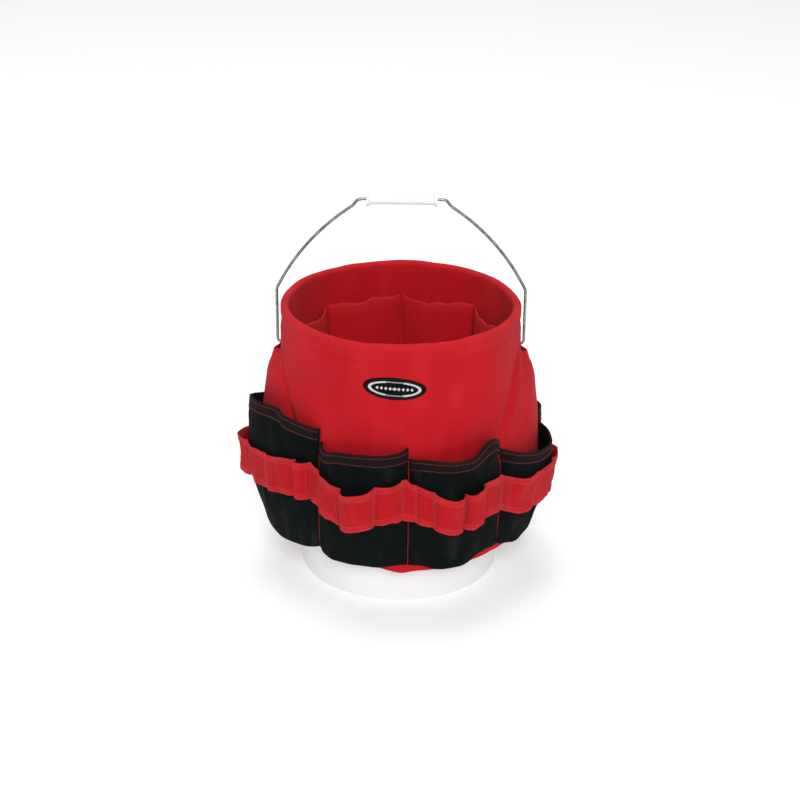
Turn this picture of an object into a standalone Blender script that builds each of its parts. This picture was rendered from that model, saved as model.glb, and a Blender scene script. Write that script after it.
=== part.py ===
"""A tool bucket organizer: a cloth pocket skirt and liner over the rim of a 5 gallon pail with a swinging bail.

Units are metres and +Z is up. The origin is the centre of the pail's base. The badge faces -Y, which is
azimuth 0; azimuth grows towards +X. The bail turns about the line along X through the pail's two ears.
"""

import math

import bmesh
import bpy
import numpy as np
from mathutils import Matrix, Vector

# Pail
PAIL_HEIGHT = 0.369
BASE_RADIUS = 0.1315
WALL_TOP_RADIUS = 0.1490
RIM_RADIUS = 0.1530
RIM_DEPTH = 0.012
WALL = 0.0024
FLOOR_TOP = 0.0050
RIB_HEIGHTS = (0.282, 0.340)
RIB_DEPTH = 0.0022
RIB_HALF_WIDTH = 0.0020
PAIL_STEPS = 48

# Ears and bail
PIVOT_HEIGHT = 0.312
EAR_RADIUS = 0.011
EAR_FACE = 0.1545
EAR_BORE_RADIUS = 0.0025
EAR_BORE_END = 0.1490
WIRE_RADIUS = 0.0019
LEG_X = 0.1605
LEG_TOP = 0.386
SHOULDER = (0.0625, 0.4985)
ARCH_RISE = 0.010
GRIP_HEIGHT = 0.5075
GRIP_LENGTH = 0.090
GRIP_RADIUS = 0.0070
GRIP_FLANGE_RADIUS = 0.0092
GRIP_FLANGE_WIDTH = 0.0035
GRIP_BORE_RADIUS = 0.0025

# Cloth
GAP = 0.0004
LAYER_GAP = 0.0016
WEBBING_GAP = 0.0018
SKIRT_CLOTH = 0.0013
POCKET_CLOTH = 0.0012
WEBBING_CLOTH = 0.0014
BINDING_CLOTH = 0.0010
HEM_CLOTH = 0.0025

# The skirt's inner face, as (height, radius).
SKIRT_PROFILE = (
    (0.058, 0.1615), (0.110, 0.1645), (0.170, 0.1650), (0.235, 0.1613), (0.303, 0.1558), (0.3565, 0.1547),
)
HEM_BOTTOM = 0.0590
SKIRT_BOTTOM = 0.0680
SLIT_BOTTOM = 0.3030
SLIT_TOP = 0.3360
SLIT_HALF_ANGLE = 5.5
COLLAR_FOOT = 0.3565
# At each ear the skirt swings out in a tent: how far, and half the angle it spans, at each height.
TENT_DEPTH = (
    (0.058, 0.002), (0.084, 0.011), (0.110, 0.0165), (0.160, 0.0195), (0.218, 0.019), (0.275, 0.0165),
    (0.303, 0.0096), (0.336, 0),
)
TENT_SPREAD = ((0.058, 46.0), (0.200, 44.0), (0.271, 27.0), (0.303, 6.0))
LINER_BOTTOM = 0.1200
LINER_GAP = 0.0008

# Outer pockets, from azimuth 0 round towards +X: the height of each one's mouth.
POCKET_TOPS = (0.232, 0.196, 0.204, 0.226, 0.232, 0.228, 0.248, 0.232)
POCKET_SEAMS = (4, 50, 95, 136, 177, 218, 260, 322.5)
# How far each mouth rises or dips along it: (share of the way from its left seam to its right one, height).
MOUTHS = (
    ((0, -0.011), (0.13, -0.006), (0.42, -0.010), (0.58, -0.005), (0.73, 0.008), (0.87, 0.001), (1, -0.014)),
    ((0, 0.014), (0.13, 0.006), (0.27, -0.001), (0.42, -0.006), (0.73, -0.011), (1, -0.004)),
    ((0, 0.004), (0.42, -0.002), (1, 0.004)),
    ((0, 0.002), (0.42, -0.001), (1, 0.006)),
    ((0, 0.005), (0.42, -0.002), (1, 0.004)),
    ((0, 0.006), (0.58, -0.002), (1, 0.003)),
    ((0, -0.024), (0.13, -0.014), (0.27, -0.004), (0.42, 0.002), (0.58, 0.007), (0.73, 0.005), (1, -0.003)),
    ((0, -0.003), (0.13, -0.007), (0.27, -0.002), (0.58, 0.003), (0.87, 0.002), (1, 0.004)),
)
SEAM_MARGIN = 0.7
POCKET_BOTTOM = 0.0710
POCKET_DEPTH_FRONT = 0.0280
POCKET_DEPTH_SIDE = 0.0210
BINDING_WIDTH = 0.0150

# The tool webbing: (azimuth, height of its lower edge), its width, and how far it stands off in each span
# between two lines of stitching. It crosses every seam between two pockets flat.
WEBBING_LINE = (
    (0, 0.1440), (10, 0.1390), (20, 0.1290), (28, 0.1300), (36, 0.1365), (44, 0.1355), (51, 0.1230),
    (58, 0.1130), (70, 0.1150), (108, 0.1160), (144, 0.1240), (180, 0.1360), (220, 0.1340), (252, 0.1330),
    (282, 0.1350), (300, 0.1400), (315, 0.1520), (326, 0.1450), (340, 0.1330), (352, 0.1440), (360, 0.1440),
)
WEBBING_WIDTH = 0.0520
SEAM_CROSSING = 2.6
WEBBING_SPANS = (
    (6.6, 13, 0.002), (13, 25, 0.014), (25, 34, 0.012), (34, 47.4, 0.003), (52.6, 65, 0.003), (65, 78, 0.002),
    (78, 92.4, 0.004), (97.6, 110, 0.002), (110, 124, 0.013), (124, 133.4, 0.002), (138.6, 150, 0.003),
    (150, 163, 0.016), (163, 174.4, 0.002), (179.6, 190, 0.002), (190, 204, 0.015), (204, 215.4, 0.003),
    (220.6, 231, 0.002), (231, 245, 0.015), (245, 257.4, 0.003), (262.6, 267, 0.001), (267, 281, 0.0102),
    (281, 297, 0.002), (297, 314, 0.003), (314, 319.9, 0.012), (325.1, 337.5, 0.003), (337.5, 351, 0.017),
    (351, 361.4, 0.003),
)

# Inner pockets
INNER_POCKETS = 8
INNER_SPAN = 360 / INNER_POCKETS
INNER_BOTTOM = 0.1500
INNER_TOP = 0.3220
INNER_DEPTH = 0.0240

# Badge
BADGE_HEIGHT = 0.3150
BADGE_ACROSS = -0.0070
BADGE_WIDTH = 0.0800
BADGE_TALL = 0.0290
BADGE_CLOTH = 0.0018
BORDER_INSET = (0.0085, 0.0062)
BORDER_WIDTH = 0.0022
BORDER_CLOTH = 0.0007

RED = (0.56, 0.012, 0.018, 1)
WEBBING_RED = (0.66, 0.022, 0.034, 1)
BLACK = (0.012, 0.014, 0.014, 1)
TAPE = (0.024, 0.016, 0.016, 1)
BADGE_BLACK = (0.010, 0.010, 0.010, 1)
WHITE = (0.80, 0.80, 0.78, 1)
STEEL = (0.45, 0.46, 0.46, 1)
SILVER = (0.55, 0.56, 0.57, 1)


def clear_scene():
    for obj in list(bpy.data.objects):
        bpy.data.objects.remove(obj, do_unlink=True)


def make_collection(name):
    collection = bpy.data.collections.new(name)
    bpy.context.scene.collection.children.link(collection)
    return collection


def make_material(name, colour, roughness, metallic=0.0):
    material = bpy.data.materials.new(name)
    material.use_nodes = True
    shader = material.node_tree.nodes["Principled BSDF"]
    shader.inputs["Base Color"].default_value = colour
    shader.inputs["Roughness"].default_value = roughness
    shader.inputs["Metallic"].default_value = metallic
    material.diffuse_color = colour
    return material


def add_object(name, data, material, collection):
    obj = bpy.data.objects.new(name, data)
    obj.data.materials.append(material)
    collection.objects.link(obj)
    return obj


def read_off(place, table):
    """The value at a place along a table of (place, value) pairs."""
    places, values = zip(*table)
    return float(np.interp(place, places, values))


def at(azimuth, radius, height):
    """The point at an azimuth in degrees, counted from -Y towards +X."""
    angle = math.radians(azimuth)
    return Vector((radius * math.sin(angle), -radius * math.cos(angle), height))


def outside(face, cloth):
    """The outer face of cloth laid over a face, measured along the radius: thicker where the face leans."""

    def skin(azimuth, height):
        radius = face(azimuth, height)
        across = (face(azimuth + 0.6, height) - face(azimuth - 0.6, height)) / (radius * math.radians(1.2))
        along = (face(azimuth, height + 0.004) - face(azimuth, height - 0.004)) / 0.008
        return radius + cloth * min(math.sqrt(1 + across**2 + along**2), 2.2)

    return skin


def pail_wall(height):
    """The outside of the pail's wall, which widens evenly upwards."""
    return BASE_RADIUS + (WALL_TOP_RADIUS - BASE_RADIUS) * height / PAIL_HEIGHT


def skirt(azimuth, height):
    """The skirt's inner face: a drum with a tent-shaped fold under each ear."""
    from_ear = abs(abs((azimuth + 180) % 360 - 180) - 90)
    share = max(0.0, 1 - from_ear / read_off(height, TENT_SPREAD))
    fold = (1 - math.cos(math.pi * share)) / 2
    return read_off(height, SKIRT_PROFILE) + read_off(height, TENT_DEPTH) * fold


skirt_skin = outside(skirt, SKIRT_CLOTH)


def pocket_ends(index):
    """The azimuths of a pocket's two seams."""
    following = POCKET_SEAMS[index + 1] if index + 1 < len(POCKET_SEAMS) else POCKET_SEAMS[0] + 360
    return POCKET_SEAMS[index], following


def pocket_place(azimuth):
    """Which pocket is at an azimuth, the degrees from its left seam, and the degrees between its seams."""
    turn = (azimuth - POCKET_SEAMS[0]) % 360 + POCKET_SEAMS[0]
    index = max(i for i, seam in enumerate(POCKET_SEAMS) if seam <= turn)
    left, right = pocket_ends(index)
    return index, turn - left, right - left


def pocket_top(azimuth):
    index, along, span = pocket_place(azimuth)
    return POCKET_TOPS[index] + read_off(along / span, MOUTHS[index])


def pocket(azimuth, height):
    """A pocket's inner face: sewn flat to the skirt at its sides and bottom, full in the middle."""
    sideways = math.sin(math.radians(azimuth)) ** 2
    depth = POCKET_DEPTH_FRONT + (POCKET_DEPTH_SIDE - POCKET_DEPTH_FRONT) * sideways
    up = (height - POCKET_BOTTOM) / (pocket_top(azimuth) - POCKET_BOTTOM)
    up = min(max(up, 0.0), 1.0)
    belly = (1 - (1 - up) ** 3) * (1 - 0.12 * up**3)
    index, along, span = pocket_place(azimuth)
    across = (along - SEAM_MARGIN) / (span - 2 * SEAM_MARGIN)
    width = max(0.0, math.sin(math.pi * min(max(across, 0.0), 1.0))) ** 0.62
    return skirt_skin(azimuth, height) + LAYER_GAP + depth * width * belly


pocket_skin = outside(pocket, POCKET_CLOTH)


def seam_distance(azimuth):
    """Degrees from the nearest seam between two pockets, and that seam's azimuth."""
    seams = [seam + turn for seam in POCKET_SEAMS for turn in (-360, 0, 360)]
    nearest = min(seams, key=lambda seam: abs(azimuth - seam))
    return azimuth - nearest, nearest


def webbing_rise(azimuth):
    """How far the webbing stands off the pocket: nothing at its stitching, and a loop between."""
    for start, end, rise in WEBBING_SPANS:
        along = (azimuth - start) % 360
        if 0 < along < end - start:
            return rise * math.sin(math.pi * along / (end - start)) ** 0.8
    return 0.0


def webbing(azimuth, height):
    """The webbing's inner face. It bridges each seam from one pocket to the next."""
    distance, seam = seam_distance(azimuth)
    if abs(distance) < SEAM_CROSSING:
        near = [pocket_skin(seam + side * SEAM_CROSSING, height) for side in (-1, 1)]
        return near[0] + (near[1] - near[0]) * (distance / SEAM_CROSSING + 1) / 2 + WEBBING_GAP
    return pocket_skin(azimuth, height) + WEBBING_GAP + webbing_rise(azimuth)


def liner_skin(height):
    """The outer face of the liner, just inside the pail's wall."""
    return pail_wall(height) - WALL - LINER_GAP


def inner_pocket_skin(azimuth, height):
    """The face of an inner pocket that turns towards the wall. It gapes towards the middle of the pail."""
    up = (height - INNER_BOTTOM) / (INNER_TOP - INNER_BOTTOM)
    up = min(max(up, 0.0), 1.0)
    belly = (1 - (1 - up) ** 2.2) * (1 - 0.15 * up**4)
    across = (azimuth % INNER_SPAN - SEAM_MARGIN) / (INNER_SPAN - 2 * SEAM_MARGIN)
    width = max(0.0, math.sin(math.pi * min(max(across, 0.0), 1.0))) ** 0.7
    return liner_skin(height) - SKIRT_CLOTH - LAYER_GAP - INNER_DEPTH * width * belly


def cloth_panel(name, azimuths, levels, faces, material, collection, is_open=None):
    """A panel of cloth on a grid of azimuths and heights, filled between its inner and outer faces."""
    inner, outer = faces
    columns, rows = len(azimuths) - 1, len(levels(azimuths[0])) - 1
    shape = bmesh.new()
    bmesh.ops.create_grid(shape, x_segments=columns, y_segments=rows, size=0.5)
    if is_open:
        holes = [face for face in shape.faces if is_open(azimuths, levels, face.calc_center_median())]
        bmesh.ops.delete(shape, geom=holes, context="FACES")
    for vertex in shape.verts:
        azimuth = azimuths[round((vertex.co.x + 0.5) * columns)]
        height = levels(azimuth)[round((vertex.co.y + 0.5) * rows)]
        vertex.co = at(azimuth, inner(azimuth, height), height)
    bmesh.ops.remove_doubles(shape, verts=shape.verts, dist=1e-6)
    layer = bmesh.ops.extrude_face_region(shape, geom=shape.faces[:], use_keep_orig=True)
    for vertex in [item for item in layer["geom"] if isinstance(item, bmesh.types.BMVert)]:
        azimuth = math.degrees(math.atan2(vertex.co.x, -vertex.co.y)) % 360
        vertex.co = at(azimuth, outer(azimuth, vertex.co.z), vertex.co.z)
    bmesh.ops.recalc_face_normals(shape, faces=shape.faces)
    mesh = bpy.data.meshes.new(name)
    shape.to_mesh(mesh)
    shape.free()
    mesh.shade_smooth()
    mesh.set_sharp_from_angle(angle=math.radians(50))
    return add_object(name, mesh, material, collection)


def turned(name, profile, steps, material, collection):
    """A closed profile of (radius, height) points turned about Z."""
    mesh = bpy.data.meshes.new(name)
    points = [(radius, 0, height) for radius, height in profile]
    mesh.from_pydata(points, [(i, i + 1) for i in range(len(points) - 1)], [])
    obj = add_object(name, mesh, material, collection)
    screw = obj.modifiers.new("Turn", "SCREW")
    screw.steps = steps
    screw.render_steps = steps
    screw.use_merge_vertices = True
    screw.merge_threshold = 0.00005
    return obj


def rod_along_x(name, radius, low, high, height, sides, collection):
    """A cylinder along X, used to join on to or cut out of the pail."""
    shape = bmesh.new()
    turn = Matrix.Rotation(math.pi / 2, 4, "Y")
    place = Matrix.Translation(((low + high) / 2, 0, height)) @ turn
    bmesh.ops.create_cone(
        shape, cap_ends=True, segments=sides, radius1=radius, radius2=radius, depth=high - low, matrix=place
    )
    mesh = bpy.data.meshes.new(name)
    shape.to_mesh(mesh)
    shape.free()
    rod = bpy.data.objects.new(name, mesh)
    rod.hide_render = True
    rod.display_type = "WIRE"
    collection.objects.link(rod)
    return rod


def pail_profile():
    """The pail's section: outside from the rim down to the base, then up the inside."""
    rim_bottom = PAIL_HEIGHT - RIM_DEPTH
    outer = [(RIM_RADIUS, PAIL_HEIGHT), (RIM_RADIUS, rim_bottom), (pail_wall(rim_bottom), rim_bottom)]
    for middle in reversed(RIB_HEIGHTS):
        for offset, depth in ((1.6, 0.0), (1.0, RIB_DEPTH), (-1.0, RIB_DEPTH), (-1.6, 0.0)):
            height = middle + offset * RIB_HALF_WIDTH
            outer.append((pail_wall(height) + depth, height))
    outer += [(pail_wall(0.004), 0.004), (BASE_RADIUS - 0.003, 0.0), (0.0, 0.0)]
    inner = [(0.0, FLOOR_TOP), (pail_wall(FLOOR_TOP) - WALL - 0.004, FLOOR_TOP)]
    inner += [(pail_wall(0.010) - WALL, 0.010), (pail_wall(PAIL_HEIGHT) - WALL, PAIL_HEIGHT)]
    return outer + inner + outer[:1]


def make_pail(material, parts, cutters):
    """The white pail: a tapered shell with a rolled rim, two ribs and a bored ear on each side."""
    pail = turned("pail", pail_profile(), PAIL_STEPS, material, parts)
    for label, side in (("left", -1), ("right", 1)):
        low, high = sorted((side * 0.1460, side * EAR_FACE))
        ear = rod_along_x(f"ear_{label}", EAR_RADIUS, low, high, PIVOT_HEIGHT, 24, cutters)
        join = pail.modifiers.new(f"Ear {label}", "BOOLEAN")
        join.operation = "UNION"
        join.object = ear
        low, high = sorted((side * EAR_BORE_END, side * (EAR_FACE + 0.005)))
        bore = rod_along_x(f"ear_bore_{label}", EAR_BORE_RADIUS, low, high, PIVOT_HEIGHT, 24, cutters)
        cut = pail.modifiers.new(f"Bore {label}", "BOOLEAN")
        cut.operation = "DIFFERENCE"
        cut.object = bore
    return pail


def bail_half():
    """One half of the bail's centreline, from the ear to the grip, as (x, z) points."""
    bend = 0.0045
    points = [(EAR_BORE_END + 0.0006, PIVOT_HEIGHT)]
    for turn in np.linspace(0, math.pi / 2, 5):
        x = LEG_X - bend + bend * math.sin(turn)
        points.append((x, PIVOT_HEIGHT + bend - bend * math.cos(turn)))
    points.append((LEG_X, LEG_TOP - 0.005))
    start, end = Vector((LEG_X, LEG_TOP)), Vector(SHOULDER)
    outward = Vector((end.y - start.y, start.x - end.x)).normalized()
    for share in np.linspace(0.04, 1, 10):
        point = start.lerp(end, share) + outward * ARCH_RISE * 4 * share * (1 - share)
        points.append((point.x, point.y))
    points.append((SHOULDER[0] - 0.006, GRIP_HEIGHT - 0.0015))
    points.append((SHOULDER[0] - 0.010, GRIP_HEIGHT))
    return points


def make_bail(material, parts):
    """The steel wire bail: hooked ends, straight legs, a shallow arch and a kink at each end of the grip."""
    half = bail_half()
    path = [(-x, z) for x, z in half] + [(x, z) for x, z in reversed(half)]
    curve = bpy.data.curves.new("bail_wire", "CURVE")
    curve.dimensions = "3D"
    curve.bevel_depth = WIRE_RADIUS
    curve.bevel_resolution = 2
    curve.use_fill_caps = True
    spline = curve.splines.new("POLY")
    spline.points.add(len(path) - 1)
    for point, (x, z) in zip(spline.points, path):
        point.co = (x, 0, z, 1)
    return add_object("bail_wire", curve, material, parts)


def make_grip(material, parts):
    """The white grip: a tube with a flange at each end, free to turn on the wire."""
    half, slope = GRIP_LENGTH / 2, 0.001
    neck = half - GRIP_FLANGE_WIDTH
    outer = [(GRIP_BORE_RADIUS, half), (GRIP_FLANGE_RADIUS - slope, half)]
    outer += [(GRIP_FLANGE_RADIUS, half - slope), (GRIP_FLANGE_RADIUS, neck), (GRIP_RADIUS, neck - slope)]
    outer += [(radius, -height) for radius, height in reversed(outer)]
    grip = turned("bail_grip", outer + outer[:1], 24, material, parts)
    grip.rotation_euler = (0, math.pi / 2, 0)
    grip.location = (0, 0, GRIP_HEIGHT)
    return grip


SKIRT_SHARES = (0, 0.13, 0.27, 0.42, 0.58, 0.73, 0.87, 1)
POCKET_SHARES = (0, 0.04, 0.13, 0.27, 0.42, 0.58, 0.73, 0.87, 0.96, 1)


def pocket_azimuths(index, shares):
    left, right = pocket_ends(index)
    return [left + SEAM_MARGIN + (right - left - 2 * SEAM_MARGIN) * share for share in shares]


def skirt_stops():
    """Azimuths right round: both sides of every seam, and points between them."""
    stops = []
    for index in range(len(POCKET_SEAMS)):
        stops += pocket_azimuths(index, SKIRT_SHARES)
    return stops + [stops[0] + 360]


def make_skirt(material, parts):
    """The red skirt, hanging from the collar right round the pail, with a slit for the bail at each ear."""
    slits = [ear + edge for ear in (90, 270) for edge in (-SLIT_HALF_ANGLE, 0, SLIT_HALF_ANGLE)]
    azimuths = [stop for stop in skirt_stops() if min(abs(stop - slit) for slit in slits) > 3]
    azimuths = sorted(azimuths + slits)
    heights = (SKIRT_BOTTOM, 0.110, 0.160, 0.218, 0.271, SLIT_BOTTOM, SLIT_TOP, COLLAR_FOOT - GAP)

    def is_open(stops, levels, centre):
        column = int((centre.x + 0.5) * (len(stops) - 1))
        row = int((centre.y + 0.5) * (len(heights) - 1))
        middle = (stops[column] + stops[column + 1]) / 2
        return heights[row] == SLIT_BOTTOM and abs(middle % 180 - 90) < SLIT_HALF_ANGLE

    faces = (skirt, skirt_skin)
    return cloth_panel("skirt", azimuths, lambda azimuth: heights, faces, material, parts, is_open)


def make_hem(material, parts):
    """The folded hem round the bottom of the skirt."""
    heights = (HEM_BOTTOM, SKIRT_BOTTOM - GAP)

    def inner(azimuth, height):
        return skirt(azimuth, height) - 0.0004

    faces = (inner, outside(inner, HEM_CLOTH))
    return cloth_panel("skirt_hem", skirt_stops(), lambda azimuth: heights, faces, material, parts)


def make_collar(material, parts):
    """The cloth folded over the rim, from the top of the skirt to the top of the liner."""
    outer = skirt(0, COLLAR_FOOT) + SKIRT_CLOTH
    inner = liner_skin(COLLAR_FOOT) - SKIRT_CLOTH
    top = PAIL_HEIGHT + GAP + SKIRT_CLOTH
    arch = [(inner, COLLAR_FOOT), (inner, top - 0.003), (inner + 0.0018, top)]
    arch += [(outer - 0.0018, top), (outer, top - 0.003), (outer, COLLAR_FOOT)]
    hollow = [(outer - SKIRT_CLOTH, COLLAR_FOOT), (outer - SKIRT_CLOTH, top - SKIRT_CLOTH)]
    hollow += [(inner + SKIRT_CLOTH, top - SKIRT_CLOTH), (inner + SKIRT_CLOTH, COLLAR_FOOT)]
    return turned("rim_collar", arch + hollow + arch[:1], PAIL_STEPS, material, parts)


def make_liner(material, parts):
    """The cloth lining of the pail's wall."""
    low, high = LINER_BOTTOM, COLLAR_FOOT - GAP
    profile = [(liner_skin(high), high), (liner_skin(low), low)]
    profile += [(liner_skin(low) - SKIRT_CLOTH, low), (liner_skin(high) - SKIRT_CLOTH, high)]
    return turned("liner", profile + profile[:1], PAIL_STEPS, material, parts)


def make_pocket(index, material, parts):
    """One black pocket round the outside."""

    def levels(azimuth):
        rise = pocket_top(azimuth) - POCKET_BOTTOM
        return [POCKET_BOTTOM + rise * share for share in (0, 0.08, 0.2, 0.38, 0.65, 1)]

    azimuths = pocket_azimuths(index, POCKET_SHARES)
    return cloth_panel(f"pocket_{index + 1:02d}", azimuths, levels, (pocket, pocket_skin), material, parts)


def make_binding(index, material, parts):
    """The bound edge at the mouth of an outer pocket."""

    def inner(azimuth, height):
        return pocket_skin(azimuth, height) + 2 * GAP

    def levels(azimuth):
        top = pocket_top(azimuth) + 0.0006
        return (top - BINDING_WIDTH, top)

    azimuths = pocket_azimuths(index, POCKET_SHARES[1:-1])
    faces = (inner, outside(inner, BINDING_CLOTH))
    return cloth_panel(f"pocket_binding_{index + 1:02d}", azimuths, levels, faces, material, parts)


def webbing_stops():
    """Azimuths right round for the webbing: every line of stitching, and points along each span."""
    stops = set()
    for start, end, rise in WEBBING_SPANS:
        steps = max(round((end - start) / 3.6), 4 if rise > 0.005 else 1)
        stops |= {start + (end - start) * step / steps for step in range(steps + 1)}
    stops = sorted(stops)
    return stops + [stops[0] + 360]


def make_webbing(material, parts):
    """The red webbing round the pockets, sewn down at intervals so that it makes tool loops."""

    def levels(azimuth):
        low = read_off(azimuth % 360, WEBBING_LINE)
        return [low + WEBBING_WIDTH * share for share in (0, 0.5, 1)]

    faces = (webbing, outside(webbing, WEBBING_CLOTH))
    return cloth_panel("tool_webbing", webbing_stops(), levels, faces, material, parts)


def make_inner_pocket(index, material, parts):
    """One red pocket on the liner."""
    low, high = INNER_SPAN * index + SEAM_MARGIN, INNER_SPAN * (index + 1) - SEAM_MARGIN
    azimuths = [low + (high - low) * share for share in (0, 0.06, 0.2, 0.4, 0.6, 0.8, 0.94, 1)]
    heights = [INNER_BOTTOM + (INNER_TOP - INNER_BOTTOM) * share for share in (0, 0.12, 0.35, 0.65, 1)]

    def inner(azimuth, height):
        return inner_pocket_skin(azimuth, height) - POCKET_CLOTH * 1.2

    name, faces = f"inner_pocket_{index + 1}", (inner, inner_pocket_skin)
    return cloth_panel(name, azimuths, lambda azimuth: heights, faces, material, parts)


def badge_panel(name, columns, rows, place, lift, thickness, material, parts):
    """A thin piece laid on the front of the skirt; place(across, up) gives each point's offset."""
    shape = bmesh.new()
    bmesh.ops.create_grid(shape, x_segments=columns, y_segments=rows, size=0.5)
    for vertex in shape.verts:
        offset, rise = place(vertex.co.x + 0.5, vertex.co.y + 0.5)
        height = BADGE_HEIGHT + rise
        vertex.co = at(math.degrees((BADGE_ACROSS + offset) / 0.158), skirt_skin(0, height) + lift, height)
    bmesh.ops.remove_doubles(shape, verts=shape.verts, dist=1e-6)
    mesh = bpy.data.meshes.new(name)
    shape.to_mesh(mesh)
    shape.free()
    panel = add_object(name, mesh, material, parts)
    solidify = panel.modifiers.new("Thickness", "SOLIDIFY")
    solidify.thickness = thickness
    solidify.offset = 1.0
    return panel


def make_badge(material, parts):
    """The blank oval badge on the front."""

    def place(across, up):
        u, v = 2 * across - 1, 2 * up - 1
        return u * math.sqrt(1 - v * v / 2) * BADGE_WIDTH / 2, v * math.sqrt(1 - u * u / 2) * BADGE_TALL / 2

    return badge_panel("badge", 12, 6, place, GAP, BADGE_CLOTH, material, parts)


def make_badge_border(material, parts):
    """The plain raised border printed round the badge."""

    def place(across, up):
        angle = 2 * math.pi * across
        wide = BADGE_WIDTH / 2 - BORDER_INSET[0] + up * BORDER_WIDTH
        tall = BADGE_TALL / 2 - BORDER_INSET[1] + up * BORDER_WIDTH
        return -wide * math.cos(angle), tall * math.sin(angle)

    return badge_panel("badge_border", 32, 1, place, BADGE_CLOTH + 2 * GAP, BORDER_CLOTH, material, parts)


def build():
    clear_scene()
    parts = make_collection("tool_bucket_organizer")
    cutters = make_collection("cutters")
    red = make_material("red_cloth", RED, 0.85)
    webbing_red = make_material("red_webbing", WEBBING_RED, 0.80)
    black = make_material("black_cloth", BLACK, 0.80)
    tape = make_material("binding_tape", TAPE, 0.75)
    badge_black = make_material("badge_cloth", BADGE_BLACK, 0.50)
    white = make_material("white_plastic", WHITE, 0.40)
    steel = make_material("steel_wire", STEEL, 0.35, 1.0)
    silver = make_material("badge_print", SILVER, 0.50)
    make_pail(white, parts, cutters)
    make_bail(steel, parts)
    make_grip(white, parts)
    make_skirt(red, parts)
    make_hem(red, parts)
    make_collar(red, parts)
    make_liner(red, parts)
    for index in range(len(POCKET_TOPS)):
        make_pocket(index, black, parts)
        make_binding(index, tape, parts)
    make_webbing(webbing_red, parts)
    for index in range(INNER_POCKETS):
        make_inner_pocket(index, red, parts)
    make_badge(badge_black, parts)
    make_badge_border(silver, parts)


build()
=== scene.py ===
"""Looks for the tool bucket organizer: cloth, webbing, tape, thread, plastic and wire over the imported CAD.

Units are metres and +Z is up. Azimuth is in degrees from the front, -Y, and grows towards +X. Most cloth is a
grid of points given by a radius for each azimuth and height, with creases and wrinkles added.
"""

import math

import bmesh
import bpy
import numpy as np
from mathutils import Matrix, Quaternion, Vector


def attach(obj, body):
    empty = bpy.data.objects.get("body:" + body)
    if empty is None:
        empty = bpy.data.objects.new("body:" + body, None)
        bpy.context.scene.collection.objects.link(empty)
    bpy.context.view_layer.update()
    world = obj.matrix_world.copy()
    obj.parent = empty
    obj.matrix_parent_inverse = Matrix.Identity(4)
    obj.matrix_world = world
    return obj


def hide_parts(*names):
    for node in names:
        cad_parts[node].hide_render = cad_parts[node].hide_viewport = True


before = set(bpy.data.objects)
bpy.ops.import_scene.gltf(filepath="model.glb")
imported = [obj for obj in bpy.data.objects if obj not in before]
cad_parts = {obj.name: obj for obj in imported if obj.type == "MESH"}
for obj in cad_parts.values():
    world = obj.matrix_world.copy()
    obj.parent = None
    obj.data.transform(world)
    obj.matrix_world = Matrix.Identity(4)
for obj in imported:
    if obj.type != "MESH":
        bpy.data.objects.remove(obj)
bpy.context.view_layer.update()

# The pail, with its ears.
PAIL_HEIGHT = 0.369
BASE_RADIUS = 0.1315
WALL_TOP_RADIUS = 0.149
RIM_RADIUS = 0.153
RIM_DEPTH = 0.012
WALL = 0.0024
FLOOR_TOP = 0.005
RIB_HEIGHTS = (0.282, 0.34)
PIVOT_HEIGHT = 0.312
EAR_RADIUS = 0.011
EAR_FACE = 0.1545
EAR_BORE_END = 0.149

# The bail and its grip.
WIRE_RADIUS = 0.0019
LEG_X = 0.1605
LEG_TOP = 0.386
SHOULDER = (0.0625, 0.4985)
ARCH_RISE = 0.01
GRIP_HEIGHT = 0.5075
GRIP_LENGTH = 0.09
GRIP_RADIUS = 0.007
GRIP_FLANGE_RADIUS = 0.0092
GRIP_FLANGE_WIDTH = 0.0035
GRIP_BORE_RADIUS = 0.0025

# The skirt, collar and liner.
SKIRT_CLOTH = 0.0013
LAYER_GAP = 0.001
SKIRT_PROFILE = (
    (0.058, 0.1615), (0.11, 0.1645), (0.17, 0.165), (0.235, 0.1612), (0.303, 0.1552), (0.3565, 0.1539),
)
TENT_DEPTH = (
    (0.058, 0.002), (0.084, 0.011), (0.11, 0.0165), (0.16, 0.019), (0.218, 0.0185), (0.275, 0.0155),
    (0.303, 0.009), (0.336, 0.0),
)
TENT_SPREAD = ((0.058, 46.0), (0.2, 44.0), (0.271, 27.0), (0.303, 4.6))
SLIT_BOTTOM = 0.303
SLIT_TOP = 0.336
SLIT_HALF_ANGLE = 5.3
HEM_BOTTOM = 0.059
SKIRT_BOTTOM = 0.068
LINER_BOTTOM = 0.12
LINER_GAP = 0.0008
ARCH_FOOT = 0.3645
HEM_WIDTH = 0.0155

# The outer pockets and their bound mouths.
POCKET_TOPS = (0.232, 0.196, 0.204, 0.226, 0.232, 0.228, 0.248, 0.232)
POCKET_SEAMS = (4, 50, 95, 136, 177, 218, 260, 322.5)
POCKET_EDGES = (*POCKET_SEAMS, POCKET_SEAMS[0] + 360)
POCKET_BOTTOM = 0.071
POCKET_CLOTH = 0.0012
POCKET_DEPTH_FRONT = 0.028
POCKET_DEPTH_SIDE = 0.021
BINDING_WIDTH = 0.015
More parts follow.
